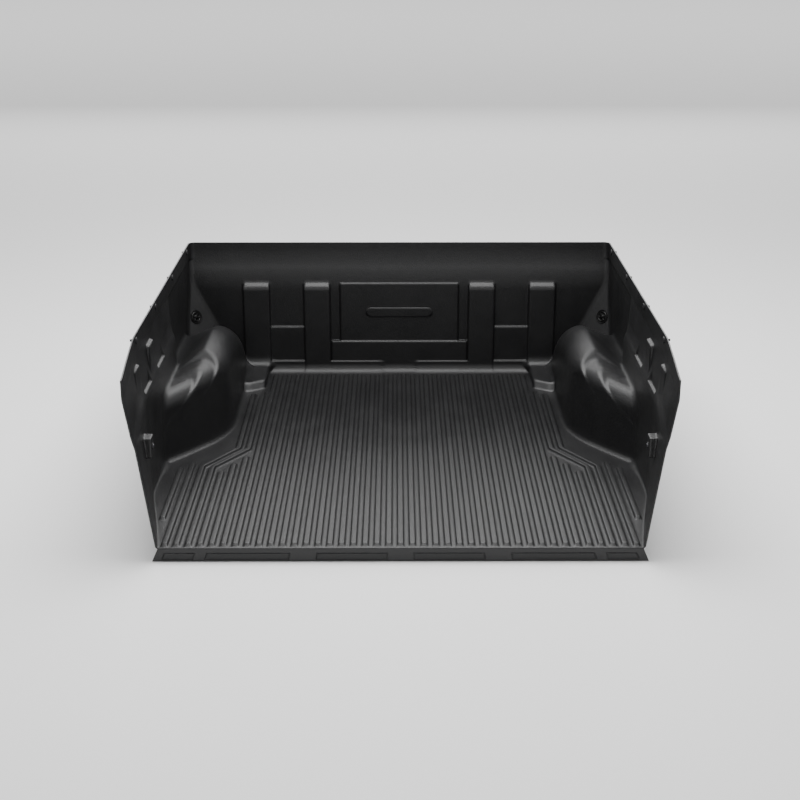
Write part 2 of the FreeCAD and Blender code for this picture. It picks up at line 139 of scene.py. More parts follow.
# The (height, y) line down which the front of each well falls to the floor.
WELL_FALL = ((264, 1100), (264, 1237), (226, 1392), (160, 1492), (66, 1570), (0, 1642))
WELL_FALL_SOFT = 45
GRADE_STEP = 5

# The low blocks in front of the wells, the corner webs and the plugs' holes.
BLOCK_CORNERS = ((500, 1347), (556, 1310))
BLOCK_TOP = 20
BLOCK_LEAN = 0.7
BLOCK_CORNER_R = 8
BLOCK_TOP_R = 7
WEB_APEX = Vector((786, 1558, 347))
WEB_NORMAL = Vector((0.70, 0.62, -0.355)).normalized()
PLUG_AT = Vector((768, 1507, 222))
PLUG_HOLE_R = 22
PLUG_HOLE_REACH = 12

# Radii where the surfaces meet, and the (y, radius) of the fillet round the floor.
CORNER_R = 20
WEB_R = 9
WELL_FOOT_R = 14
BLOCK_FOOT_R = 6
FLOOR_FILLET = ((0, 4), (300, 6), (500, 10), (600, 26), (850, 26), (1000, 18), (1400, 18), (1490, 34))

# The ribs.  A section row is a half width, its height and its share of the bevel at the ends.
PITCH = 33.5
RIB_REAR = 6.0
RIB_FRONT = 1499.0
REAR_BEVEL = 12.0
FRONT_BEVEL = 8
SHORT_BEVEL = 14
RIB_CORNER = 2
RIB_CORNER_SHARE = 0.3
RIB_BEND_R = 30
RIB_SECTION = (
    (5.7, 0.0, 1.00),
    (6.6, -0.3, 0.92),
    (7.4, -1.2, 0.80),
    (8.1, -2.8, 0.64),
    (9.2, -5.2, 0.38),
    (10.6, -7.1, 0.18),
    (12.4, -8.3, 0.04),
    (14.0, -8.8, -0.06),
    (15.4, -9.0, -0.14),
)
FLANK = 9
NARROW = 0.45
SHORT_RIBS = {15: 675, 16: 616, 17: 551}
JOGGED_RIBS = {18: 1306, 19: 1284}
EDGE_RIBS = {20: (RIB_REAR, 627), 21: (186, 581)}
JOG_Y = (581, 736)
JOG_STAGGER = 7
JOG_PITCHES = 3

# The rear lip and its six pressed recesses.
LIP_ROUND = 3.0
LIP_FADE = 30
LIP_HALF_LOW = 705
LIP_RECESSES = ((38, 241), (319, 558), (592, 680))
LIP_RECESS_Z = (-46, -26)
LIP_RECESS = 5
RECESS_SLOPE = 6
RECESS_COLUMNS = (-6, -4, -2, 0, 2, 4, 6)
LIP_COLUMNS = range(60, 700, 20)
LIP_ROWS = (-20.0, -22, -24, -26, -28, -30, -36, -42, -44, -46, -48)


def meet(a, b, r):
    """The space in front of two faces that meet in a hollow corner of radius r."""
    return np.maximum(r, np.minimum(a, b)) - np.hypot(np.maximum(r - a, 0), np.maximum(r - b, 0))


def edge(a, b, r):
    """The space outside two faces that meet in a rounded outer edge of radius r."""
    return np.minimum(-r, np.maximum(a, b)) + np.hypot(np.maximum(r + a, 0), np.maximum(r + b, 0))


def along(line, at, soft=30):
    """The first coordinate of a plan line at places on the second, with softened corners."""
    places = [q for _, q in line]
    values = [p for p, _ in line]
    steps = np.linspace(-soft, soft, 7)
    return sum(np.interp(at + s, places, values) for s in steps) / len(steps)


def plan_face(a, b, x, y):
    """The distance in front of an upright face whose plan runs from a to b."""
    dx = b[0] - a[0]
    dy = b[1] - a[1]
    turn = -1 if dy > 0 else 1
    return turn * ((x - a[0]) * dy - (y - a[1]) * dx) / math.hypot(dx, dy)


def span(low, high, at):
    """The distance outside a span."""
    return abs(at - (low + high) / 2) - (high - low) / 2


def smooth_step(t):
    t = np.clip(t, 0, 1)
    return t * t * (3 - 2 * t)


def side_wall(x, y, z):
    """The distance inside a side wall, with its ledge, notches, pads, pocket and screw boss."""
    foot = along(FLOOR_LINE, y)
    low = foot + (along(LEDGE_LINE, y) - foot) * (z - FLOOR_Z) / (LEDGE_Z - FLOOR_Z)
    rise = np.clip((z - LEDGE_Z) / (RAIL_Z - LEDGE_Z), 0, 1)
    high = along(UPPER_LINE, y) + (along(RAIL_LINE, y) - along(UPPER_LINE, y)) * rise
    pocket = smooth_step((y - BAND_FRONT) / POCKET_RUN) * smooth_step((RAIL_Z - z) / POCKET_RISE)
    high = high + np.maximum(POCKET_FACE - high, 0) * pocket
    ledge = (low - x + (z - LEDGE_START) * LEDGE_SLOPE) / math.hypot(1, LEDGE_SLOPE)
    band = edge(edge(low - x, ledge, LEDGE_R), y - BAND_FRONT, BAND_END_R)
    for notch in NOTCHES:
        band = edge(band, np.minimum(-span(*notch, y), z - LEDGE_Z + NOTCH_DEPTH), NOTCH_R)
    wall = meet(high - x, band, BAND_FOOT_R)
    for pad in SIDE_PADS:
        plan = edge(PAD_FACE - x, span(*pad, y), PAD_R)
        wall = meet(wall, edge(plan, z - PAD_TOP, PAD_TOP_R), PAD_R)
    boss = edge(edge(BOSS_FACE - x, span(*BOSS_Y, y), BOSS_R), span(*BOSS_Z, z), BOSS_R)
    return meet(wall, boss, BOSS_R)


def slope_face(y0, z0, y1, z1, y, z):
    """The distance above a sloping face that rises forward from (y0, z0) to (y1, z1)."""
    return ((z - z0) * (y1 - y0) - (y - y0) * (z1 - z0)) / math.hypot(y1 - y0, z1 - z0)


def bulkhead(x, y, z):
    """The distance behind the bulkhead, with its columns, ledges, panel, apron and raised bar."""
    slope = slope_face(BULKHEAD_Y, SLOPE_Z, BAND_Y, RAIL_Z, y, z)
    front = meet(BAND_Y - y, edge(BULKHEAD_Y - y, slope, SLOPE_R), BAND_R)
    for low, high in COLUMNS:
        top = slope_face(COLUMN_FACE, COLUMN_TOP - COLUMN_SLOPE, BULKHEAD_Y, COLUMN_TOP, y, z)
        plan = edge(COLUMN_FACE - y, span(low, high, x), COLUMN_R)
        front = meet(front, edge(plan, top, COLUMN_TOP_R), COLUMN_R)
    for low, high, top, face in LEDGES:
        plan = edge(face - y, span(low, high, x), FIELD_R)
        front = meet(front, edge(plan, z - top, FIELD_R), FIELD_R)
    for half, top, face in (PANEL, APRON):
        plan = edge(face - y, x - half, FIELD_R)
        front = meet(front, edge(plan, z - top, FIELD_R), PANEL_FOOT_R)
    badge = np.hypot(np.maximum(x - BADGE_HALF, 0), z - BADGE_Z) - BADGE_R
    return meet(front, edge(BADGE_FACE - y, badge, BADGE_EDGE_R), BADGE_FOOT_R)


def wheel_well(x, y, z):
    """The distance outside a wheel well."""
    fall = along(WELL_FALL, y, WELL_FALL_SOFT)
    grade = (along(WELL_FALL, y + GRADE_STEP, WELL_FALL_SOFT) - fall) / GRADE_STEP
    lean = WELL_LEAN * z
    inner = edge(WELL_INNER - x + lean, plan_face(*WELL_HIP, x, y) + lean, WELL_CORNER_R)
    rear = plan_face(*WELL_REAR, x, y) + WELL_REAR_LEAN * z
    outboard = smooth_step((x - WELL_CROWN) / WELL_CROWN_RUN)
    low = np.minimum(along(WELL_WALL, y), fall - WELL_WALL_DROP)
    well = None
    for top, crest in WELL_LOBES:
        crown = np.minimum(top, fall)
        over = (z - crown - (low - crown) * outboard) / np.sqrt(1 + grade * grade)
        lobe = edge(inner, edge(rear, over, WELL_REAR_ROUND), WELL_SHOULDER)
        if crest:
            (outer_x, outer_y), (inner_x, inner_y) = crest
            before = inner_y + (x - inner_x) * (outer_y - inner_y) / (outer_x - inner_x) - y
            incline = (z - top + STEP_SLOPE * before) / math.hypot(1, STEP_SLOPE)
            lobe = edge(lobe, incline, STEP_TOP_R)
        well = lobe if well is None else meet(well, lobe, STEP_FOOT_R)
    return well


def corner_web(x, y, z):
    """The distance in front of a corner web."""
    n = WEB_NORMAL
    return -(n.x * (x - WEB_APEX.x) + n.y * (y - WEB_APEX.y) + n.z * (z - WEB_APEX.z))


def low_block(x, y, z):
    """The distance outside the low block between a well and the bulkhead."""
    near, back = BLOCK_CORNERS
    lean = BLOCK_LEAN * (z - FLOOR_Z)
    diagonal = plan_face(near, back, x, y) + lean
    plan = edge(edge(near[0] - x, diagonal, BLOCK_CORNER_R), back[1] - y + lean, BLOCK_CORNER_R)
    return edge(plan, z - BLOCK_TOP, BLOCK_TOP_R)


def space(x, y, z):
    """The distance into the open space from the liner's visible surface."""
    x = abs(x)
    walls = meet(side_wall(x, y, z), bulkhead(x, y, z), CORNER_R)
    walls = meet(meet(walls, corner_web(x, y, z), WEB_R), wheel_well(x, y, z), WELL_FOOT_R)
    fillet = np.interp(y, *zip(*FLOOR_FILLET))
    return meet(walls, meet(z - FLOOR_Z, low_block(x, y, z), BLOCK_FOOT_R), fillet)


def graded(first, last, knots):
    """Grid lines whose spacing follows (place, spacing) knots."""
    lines = [first]
    places = [p for p, _ in knots]
    steps = [s for _, s in knots]
    while lines[-1] < last:
        lines.append(lines[-1] + np.interp(lines[-1], places, steps))
    return lines


# The grid: where it starts and ends on each axis, and its (place, spacing) knots.
X_RANGE = (7.0, 806)
Y_RANGE = (3.6, 1592)
Y_START = [-0.5, 0.5, 1.5, 2.5]
Z_START = -14.0
TOP_CELL = 4
TOP_CLEAR = 7
NEAR = 0.01
X_KNOTS = (
    (0, 14), (80, 14), (90, 4), (128, 4), (140, 12), (205, 12), (215, 3.5), (270, 3.5), (282, 12),
    (342, 12), (352, 3.5), (370, 3.5), (382, 13), (472, 13), (484, 3.5), (515, 4), (550, 5), (570, 3.5),
    (600, 4), (625, 9), (670, 9), (690, 4), (800, 3),
)
Y_KNOTS = (
    (4, 4), (20, 12), (150, 12), (163, 3.5), (222, 3.5), (235, 12), (288, 10), (296, 3.5), (306, 3.5),
    (316, 9), (366, 8), (376, 3.5), (386, 3.5), (400, 3), (410, 3), (422, 12), (505, 12), (520, 3),
    (530, 3), (545, 4), (560, 4), (575, 8), (625, 6), (645, 3), (656, 3), (668, 6), (765, 6), (772, 3),
    (781, 3), (800, 6), (990, 6), (1040, 8), (1080, 14), (1220, 14), (1256, 4), (1285, 4), (1300, 6),
    (1350, 4), (1370, 10), (1440, 9), (1480, 5), (1500, 3), (1536, 3), (1564, 2.2), (1590, 2.2),
)
Z_KNOTS = (
    (-20, 2), (30, 2), (42, 3), (50, 9), (98, 9), (108, 3), (118, 3), (128, 9), (156, 8), (164, 2.5),
    (174, 2.5), (184, 6), (192, 3), (212, 3), (220, 5), (236, 4), (246, 4), (262, 5), (300, 7),
    (311, 2.5), (322, 2.5), (330, 3), (364, 3), (374, 7), (402, 6), (408, 3), (420, 3), (430, 4),
    (446, 4), (456, 9), (480, 9),
)


def surface_net(values, axes):
    """The zero surface of a field on a grid: one point in each crossed cell, joined into quads."""
    cells = tuple(n - 1 for n in values.shape)
    total = np.zeros(cells + (3,))
    count = np.zeros(cells)
    crossed = []
    for a in range(3):
        b, c = (a + 1) % 3, (a + 2) % 3
        low = np.moveaxis(np.moveaxis(values, a, 0)[:-1], 0, a)
        high = np.moveaxis(np.moveaxis(values, a, 0)[1:], 0, a)
        cross = (low < 0) != (high < 0)
        at = np.argwhere(cross)
        part = low[cross] / (low[cross] - high[cross])
        points = np.stack([axes[k][at[:, k]] for k in range(3)], 1)
        points[:, a] += part * (axes[a][at[:, a] + 1] - axes[a][at[:, a]])
        around = []
        for step_b, step_c in ((0, 0), (1, 0), (1, 1), (0, 1)):
            cell = at.copy()
            cell[:, b] -= step_b
            cell[:, c] -= step_c
            around.append(cell)
            inside = (cell >= 0).all(1) & (cell < cells).all(1)
            np.add.at(total, tuple(cell[inside].T), points[inside])
            np.add.at(count, tuple(cell[inside].T), 1)
        whole = np.all([(cell >= 0).all(1) & (cell < cells).all(1) for cell in around], 0)
        crossed.append((np.stack(around, 1)[whole], (low[cross] < 0)[whole]))
    number = np.full(cells, -1)
    number[count > 0] = np.arange((count > 0).sum())
    faces = []
    for around, rising in crossed:
        quads = number[around[..., 0], around[..., 1], around[..., 2]]
        quads[~rising] = quads[~rising][:, ::-1]
        faces.append(quads)
    return total[count > 0] / count[count > 0][:, None], np.concatenate(faces)


SETTLE_ROUNDS = 4
SETTLE_PROBE = 0.05
LEAST_SLOPE = 0.3
LONGEST_MOVE = 4


def settled(points, held):
    """The points moved onto the true surface, with the held coordinates kept."""
    for _ in range(SETTLE_ROUNDS):
        here = space(*points.T)
        slope = np.stack([
            (space(*(points + move).T) - space(*(points - move).T)) / (2 * SETTLE_PROBE)
            for move in np.eye(3) * SETTLE_PROBE
        ], 1)
        slope[held] = 0
        size = np.maximum((slope * slope).sum(1), LEAST_SLOPE)
        points = points - slope * np.clip(here / size, -LONGEST_MOVE, LONGEST_MOVE)[:, None]
    return points


def wall_mesh():
    """The whole inside surface with a flat floor, as points and quads."""
    xs = np.array([-X_RANGE[0]] + graded(*X_RANGE, X_KNOTS))
    ys = np.array(Y_START + graded(*Y_RANGE, Y_KNOTS))
    zs = [z for z in graded(Z_START, TOP, Z_KNOTS) if z < TOP - TOP_CLEAR]
    zs = np.array(zs + [TOP - TOP_CELL, TOP + TOP_CELL])
    field = space(xs[:, None, None], ys[None, :, None], zs[None, None, :])
    points, quads = surface_net(field, (xs, ys, zs))
    goal = np.zeros_like(points) + (0, 0, TOP)
    held = abs(points - goal) < (NEAR, -Y_START[0] + NEAR, TOP_CELL + NEAR)
    points[held] = goal[held]
    return settled(points, held), quads


def mirrored(points, quads):
    """The right half joined to its mirror image."""
    own = points[:, 0] > 1e-6
    other = np.arange(len(points))
    other[own] = len(points) + np.arange(own.sum())
    left = points[own] * (-1, 1, 1)
    return np.concatenate([points, left]), np.concatenate([quads, other[quads[:, ::-1]]])


def plug_place(side):
    """Where a plug sits on its web, and its direction into the open space."""
    seat = PLUG_AT - WEB_NORMAL * (PLUG_AT - WEB_APEX).dot(WEB_NORMAL)
    out = Vector((-side * WEB_NORMAL.x, -WEB_NORMAL.y, -WEB_NORMAL.z))
    return Vector((side * seat.x, seat.y, seat.z)), out


def plug_holes(points, quads):
    """Round holes through the webs, where the corner plugs sit."""
    for side in (-1, 1):
        seat, out = plug_place(side)
        offset = points - np.array(seat)
        rise = offset @ np.array(out)
        flat = offset - rise[:, None] * np.array(out)
        radius = np.linalg.norm(flat, axis=1)
        inner = (radius < PLUG_HOLE_R) & (abs(rise) < PLUG_HOLE_REACH)
        gone = inner[quads].all(1)
        rim = np.intersect1d(quads[gone], quads[~gone])
        points[rim] += flat[rim] * (PLUG_HOLE_R / radius[rim] - 1)[:, None]
        quads = quads[~gone]
    return points, quads


def rounded_path(path, radius):
    """A plan path with its bends turned into short arcs."""
    done = [Vector(path[0])]
    for before, corner, after in zip(path, path[1:], path[2:]):
        corner = Vector(corner)
        u = (Vector(before) - corner).normalized()
        w = (Vector(after) - corner).normalized()
        reach = radius / math.tan(u.angle(w) / 2)
        for t in (0, 0.25, 0.5, 0.75, 1):
            done.append(corner + u * reach * (1 - t) ** 2 + w * reach * t ** 2)
    return done + [Vector(path[-1])]


def rib_loop(path, half, rear, front, corner):
    """A closed plan outline round a rib: even width, trimmed ends and rounded corners."""
    first = (path[0][0], path[0][1] + rear)
    last = (path[-1][0], path[-1][1] - front)
    points = rounded_path([first] + path[1:-1] + [last], RIB_BEND_R)
    ways = [(b - a).normalized() for a, b in zip(points, points[1:])]
    right, left = [], []
    for place, p in enumerate(points):
        u = ways[max(place - 1, 0)]
        w = ways[min(place, len(ways) - 1)]
        middle = (u + w).normalized()
        across = Vector((middle.y, -middle.x)) * half / middle.dot(w)
        right.append(p + across)
        left.append(p - across)
    loop = []
    turns = [(math.sin(k * math.pi / 6), math.cos(k * math.pi / 6)) for k in range(4)]
    for side, heading in ((right, 1), (left[::-1], -1)):
        first, last = side[0], side[-1]
        for sine, cosine in turns:
            loop.append(first + Vector((-heading * (1 - sine), heading * (1 - cosine))) * corner)
        loop += side[1:-1]
        for sine, cosine in turns:
            loop.append(last + Vector((-heading * (1 - cosine), -heading * (1 - sine))) * corner)
    return loop


def rib_paths():
    """The plan path of every rib."""
    right = [[(n * PITCH, RIB_REAR), (n * PITCH, RIB_FRONT)] for n in range(1, min(SHORT_RIBS))]
    right += [[(n * PITCH, RIB_REAR), (n * PITCH, front)] for n, front in SHORT_RIBS.items()]
    right += [[(n * PITCH, rear), (n * PITCH, front)] for n, (rear, front) in EDGE_RIBS.items()]
    for place, (n, front) in enumerate(JOGGED_RIBS.items()):
        rear, far = (y + place * JOG_STAGGER for y in JOG_Y)
        x0, x1 = n * PITCH, (n - JOG_PITCHES) * PITCH
        right.append([(x0, RIB_REAR), (x0, rear), (x1, far), (x1, front)])
    left = [[(-x, y) for x, y in path] for path in right]
    return [[(0, RIB_REAR), (0, RIB_FRONT)]] + right + left


FLAT = 0.02


def ribbed_floor(points, quads):
    """The flat part of the floor replaced by a sheet with the ribs raised in it."""
    flat = (abs(points[:, 2] - FLOOR_Z) < FLAT) & (points[:, 1] > LIP_ROUND)
    corners = points[quads]
    gone = flat[quads].all(1) & (np.ptp(corners[..., 2], axis=1) < FLAT)
    kept = quads[~gone]
    sides = np.concatenate([quads[gone][:, [k, (k + 1) % 4]] for k in range(4)])
    keys = {tuple(s) for s in sides.tolist()}
    rim = [s for s in keys if (s[1], s[0]) not in keys]
    names = sorted({v for s in rim for v in s})
    place = {v: k for k, v in enumerate(names)}
    plan = [Vector(points[v][:2]) for v in names]
    heights = [FLOOR_Z] * len(names)
    edges = [(place[a], place[b]) for a, b in rim]
    for path in rib_paths():
        short = path[0][1] > RIB_REAR or path[-1][1] < RIB_FRONT
        outer = abs(path[0][0]) > (min(EDGE_RIBS) - 0.5) * PITCH
        for half, z, up in RIB_SECTION:
            if outer:
                half = min(half, FLANK + (half - FLANK) * NARROW)
            front = SHORT_BEVEL if short else FRONT_BEVEL
            corner = RIB_CORNER + half * RIB_CORNER_SHARE
            loop = rib_loop(path, half, REAR_BEVEL * up, front * up, corner)
            start = len(plan)
            plan += loop
            heights += [z] * len(loop)
            edges += [(start + k, start + (k + 1) % len(loop)) for k in range(len(loop))]
    made = geometry.delaunay_2d_cdt(plan, edges, [], 1, 1e-4)
    new_points, new_faces, origin = made[0], made[2], made[3]
    number = []
    extra = []
    for p, sources in zip(new_points, origin):
        known = [s for s in sources if s < len(names)]
        if known:
            number.append(names[known[0]])
            continue
        number.append(len(points) + len(extra))
        extra.append((p.x, p.y, heights[sources[0]] if sources else FLOOR_Z))
    points = np.concatenate([points, np.array(extra)])
    patch = []
    for face in new_faces:
        a, b, c = (new_points[v] for v in face)
        turn = (b - a).cross(c - a)
        patch.append(tuple(number[v] for v in (face if turn > 0 else face[::-1])))
    return points, [tuple(q) for q in kept.tolist()] + patch


def rounded_rear_edge(points):
    """The floor's rear edge turned down into the lip."""
    y = np.clip(points[:, 1], 0, LIP_ROUND)
    drop = LIP_ROUND - np.sqrt(LIP_ROUND ** 2 - (LIP_ROUND - y) ** 2)
    share = np.clip(1 - (points[:, 2] - FLOOR_Z) / LIP_FADE, 0, 1)
    points[:, 2] -= drop * share
    return points


def rear_lip():
    """The strip that hangs over the sill, pressed in at six places."""
    xs = {0}.union(LIP_COLUMNS)
    for pair in LIP_RECESSES:
        xs |= {end + k for end in pair for k in RECESS_COLUMNS}
    xs = sorted(xs) + [LIP_HALF_LOW]
    xs = np.array([-x for x in xs[:0:-1]] + xs)
    top = FLOOR_Z - LIP_ROUND
    zs = np.array([top, top - 4, *LIP_ROWS, -LIP_DROP])
    grid_x, grid_z = np.meshgrid(xs, zs, indexing="ij")
    low_z, high_z = LIP_RECESS_Z
    pressed = np.zeros_like(grid_x)
    for low, high in LIP_RECESSES:
        inside = np.minimum(-span(low, high, abs(grid_x)), -span(low_z, high_z, grid_z))
        pressed = np.maximum(pressed, LIP_RECESS * smooth_step(inside / RECESS_SLOPE + 0.5))
    share = (top - grid_z) / (top + LIP_DROP)
    half = FLOOR_LINE[0][0] + (LIP_HALF_LOW - FLOOR_LINE[0][0]) * share
    points = np.stack([grid_x * half / LIP_HALF_LOW, pressed, grid_z], -1).reshape(-1, 3)
    rows = len(zs)
    faces = []
    for i in range(len(xs) - 1):
        for j in range(rows - 1):
            a = i * rows + j
            faces.append((a, a + 1, a + rows + 1, a + rows))
    return points, faces


def liner_skin():
    """The vacuum-formed sheet, with its real thickness."""
    points, quads = mirrored(*wall_mesh())
    points, quads = plug_holes(points, quads)
    points, faces = ribbed_floor(points, quads)
    points = rounded_rear_edge(points)
    lip_points, lip_faces = rear_lip()
    faces += [tuple(v + len(points) for v in face) for face in lip_faces]
    points = np.concatenate([points, lip_points])
    placed = (points + (0, REAR_Y, BASE_Z)) * MM
    mesh = bpy.data.meshes.new("liner_skin")
    mesh.from_pydata(placed.tolist(), [], faces)
    mesh.update()
    skin = bpy.data.objects.new("liner_skin", mesh)
    bpy.context.scene.collection.objects.link(skin)
    tidy_mesh(skin)
    thick = skin.modifiers.new("sheet", "SOLIDIFY")
    thick.thickness = WALL * MM
    thick.offset = -1
    bpy.context.view_layer.objects.active = skin
    skin.select_set(True)
    bpy.ops.object.modifier_apply(modifier=thick.name)
    skin.select_set(False)
    skin.data.polygons.foreach_set("use_smooth", [True] * len(skin.data.polygons))
    skin.data.set_sharp_from_angle(angle=math.radians(50))
    return skin


def tidy_mesh(obj):
    """Drops points that no face uses."""
    mesh = obj.data
    used = set(v for p in mesh.polygons for v in p.vertices)
    if len(used) == len(mesh.vertices):
        return
    keep = sorted(used)
    place = {v: k for k, v in enumerate(keep)}
    points = [tuple(mesh.vertices[v].co) for v in keep]
    faces = [tuple(place[v] for v in p.vertices) for p in mesh.polygons]
    mesh.clear_geometry()
    mesh.from_pydata(points, [], faces)
    mesh.update()


# The corner plug's turned section: (radius, height above the web), from the middle to the skirt.
PLUG_SECTION = (
    (0.0, 5.6), (3.2, 5.5), (5.6, 5.0), (7.2, 4.0), (7.9, 2.9), (8.4, 2.0), (9.6, 1.6), (13.5, 1.5),
    (15.0, 1.7), (15.8, 2.6), (16.8, 3.2), (18.0, 3.3), (19.0, 2.8), (19.8, 1.9), (21.0, 1.6), (23.0, 1.8),
    (24.4, 2.6), (25.6, 2.8), (26.5, 2.2), (27.0, 1.2), (27.0, 0.3), (21.6, 0.3), (21.6, -14.0),
    (19.6, -14.0), (19.6, -0.6), (0.0, -0.6),
)
PLUG_STEPS = 72
PLUG_SPOKES = 6
SPOKE_SPAN = (8.4, 15.5)
SPOKE_RISE = 1.4


def corner_plug(name, side):
    """A round cap with two rings and six low spokes between them, and a thin skirt behind."""
    seat, axis = plug_place(side)
    u = axis.orthogonal().normalized()
    w = axis.cross(u)
    points = []
    for r, h in PLUG_SECTION:
        for k in range(PLUG_STEPS):
            t = 2 * math.pi * k / PLUG_STEPS
            spoked = SPOKE_SPAN[0] < r < SPOKE_SPAN[1] and h > 0
            spoke = max(0.0, math.cos(PLUG_SPOKES * t)) ** 3 * SPOKE_RISE if spoked else 0
            points.append(seat + (u * math.cos(t) + w * math.sin(t)) * r + axis * (h + spoke))
    faces = []
    for ring in range(len(PLUG_SECTION) - 1):
        for k in range(PLUG_STEPS):
            a, b = ring * PLUG_STEPS + k, ring * PLUG_STEPS + (k + 1) % PLUG_STEPS
            faces.append((a, a + PLUG_STEPS, b + PLUG_STEPS, b))
    mesh = bpy.data.meshes.new(name)
    mesh.from_pydata([(p + Vector((0, REAR_Y, BASE_Z))) * MM for p in points], [], faces)
    mesh.validate()
    grid = bmesh.new()
    grid.from_mesh(mesh)
    bmesh.ops.remove_doubles(grid, verts=grid.verts, dist=1e-6)
    bmesh.ops.recalc_face_normals(grid, faces=grid.faces)
    grid.to_mesh(mesh)
    grid.free()
    mesh.polygons.foreach_set("use_smooth", [True] * len(mesh.polygons))
    mesh.set_sharp_from_angle(angle=math.radians(60))
    plug = bpy.data.objects.new(name, mesh)
    bpy.context.scene.collection.objects.link(plug)
    return plug


# The colour sockets of a Mix node, which shares its names between data types.
MIX_A = 6
MIX_B = 7
MIX_RESULT = 2


class Nodes:
    """A small helper that adds nodes and links to one material."""

    def __init__(self, name):
        self.material = bpy.data.materials.new(name)
        self.material.use_nodes = True
        self.tree = self.material.node_tree
        self.shader = self.tree.nodes["Principled BSDF"]
        self.place = self.add("ShaderNodeTexCoord").outputs["Object"]

    def add(self, kind, **settings):
        node = self.tree.nodes.new(kind)
        for key, value in settings.items():
            setattr(node, key, value)
        return node

    def link(self, a, b):
        self.tree.links.new(a, b)

    def noise(self, scale, detail=4.0, rough=0.55, stretch=None):
        node = self.add("ShaderNodeTexNoise")
        node.inputs["Scale"].default_value = scale
        node.inputs["Detail"].default_value = detail
        node.inputs["Roughness"].default_value = rough
        source = self.place
        if stretch:
            mapping = self.add("ShaderNodeMapping")
            mapping.inputs["Scale"].default_value = stretch
            self.link(self.place, mapping.inputs["Vector"])
            source = mapping.outputs["Vector"]
        self.link(source, node.inputs["Vector"])
        return node.outputs["Fac"]

    def ramp(self, value, low, high, a, b):
        node = self.add("ShaderNodeMapRange")
        for key, v in (("From Min", low), ("From Max", high), ("To Min", a), ("To Max", b)):
            node.inputs[key].default_value = v
        self.link(value, node.inputs["Value"])
        return node.outputs["Result"]

    def maths(self, operation, a, b):
        node = self.add("ShaderNodeMath", operation=operation)
        for socket, v in zip(node.inputs, (a, b)):
            if isinstance(v, (int, float)):
                socket.default_value = v
            else:
                self.link(v, socket)
        return node.outputs["Value"]

    def colours(self, value, dark, light):
        node = self.add("ShaderNodeMix", data_type="RGBA")
        node.inputs[MIX_A].default_value = (*dark, 1)
        node.inputs[MIX_B].default_value = (*light, 1)
        self.link(value, node.inputs[0])
        self.link(node.outputs[MIX_RESULT], self.shader.inputs["Base Color"])

    def bump(self, height, distance, strength=1.0):
        node = self.add("ShaderNodeBump")
        node.inputs["Distance"].default_value = distance
        node.inputs["Strength"].default_value = strength
        self.link(height, node.inputs["Height"])
        self.link(node.outputs["Normal"], self.shader.inputs["Normal"])


def formed_plastic():
    """Black polyethylene sheet: a fine leathery grain, cloudy gloss and a few faint scuffs."""
    n = Nodes("formed_polyethylene")
    cloud = n.noise(9, 5, 0.6)
    grain = n.noise(620, 3, 0.6)
    pores = n.add("ShaderNodeTexVoronoi")
    pores.inputs["Scale"].default_value = 430
    n.link(n.place, pores.inputs["Vector"])
    scuffs = n.ramp(n.noise(26, 6, 0.7, (3.0, 0.35, 1.0)), 0.60, 0.75, 0.0, 1.0)
    tone = n.maths("ADD", n.ramp(cloud, 0.3, 0.7, 0.25, 0.6), n.maths("MULTIPLY", scuffs, 0.25))
    tone = n.maths("ADD", tone, n.ramp(grain, 0.3, 0.7, -0.1, 0.15))
    n.colours(tone, (0.005, 0.005, 0.0055), (0.014, 0.014, 0.0145))
    gloss = n.ramp(cloud, 0.3, 0.7, 0.33, 0.41)
    n.link(n.maths("ADD", gloss, n.ramp(grain, 0.35, 0.65, -0.03, 0.05)), n.shader.inputs["Roughness"])
    pitted = n.maths("MULTIPLY", pores.outputs["Distance"], 0.5)
    height = n.maths("ADD", n.maths("MULTIPLY", grain, 0.6), pitted)
    coarse = n.maths("MULTIPLY", n.noise(240, 3, 0.6), 1.1)
    n.bump(n.maths("ADD", height, coarse), 0.0008, 0.6)
    n.shader.inputs["Specular IOR Level"].default_value = 0.42
    return n.material


def moulded_plastic(name, dark, light, rough, specular):
    """Moulded black nylon or plastic: nearly smooth, with flow marks and faint handling wear."""
    n = Nodes(name)
    flow = n.noise(90, 4, 0.6, (1.0, 1.0, 2.5))
    fine = n.noise(1400, 2, 0.5)
    n.colours(n.ramp(flow, 0.3, 0.7, 0.0, 1.0), dark, light)
    gloss = n.ramp(flow, 0.3, 0.7, rough - 0.06, rough + 0.08)
    n.link(n.maths("ADD", gloss, n.ramp(fine, 0.3, 0.7, -0.02, 0.03)), n.shader.inputs["Roughness"])
    n.bump(n.maths("ADD", n.maths("MULTIPLY", fine, 0.5), flow), 0.0002, 0.5)
    n.shader.inputs["Specular IOR Level"].default_value = specular
    return n.material


def coated_steel(name, dark, light, rough):
    """Coated steel with turning marks and small worn places."""
    n = Nodes(name)
    marks = n.noise(900, 3, 0.5, (0.15, 1.0, 1.0))
    worn = n.ramp(n.noise(260, 5, 0.7), 0.58, 0.68, 0.0, 1.0)
    n.colours(n.maths("ADD", n.ramp(marks, 0.3, 0.7, 0.0, 0.35), n.maths("MULTIPLY", worn, 0.5)), dark, light)
    n.shader.inputs["Metallic"].default_value = 1.0
    gloss = n.ramp(marks, 0.3, 0.7, rough - 0.05, rough + 0.1)
    n.link(n.maths("SUBTRACT", gloss, n.maths("MULTIPLY", worn, 0.12)), n.shader.inputs["Roughness"])
    n.bump(marks, 0.0001, 0.6)
    return n.material


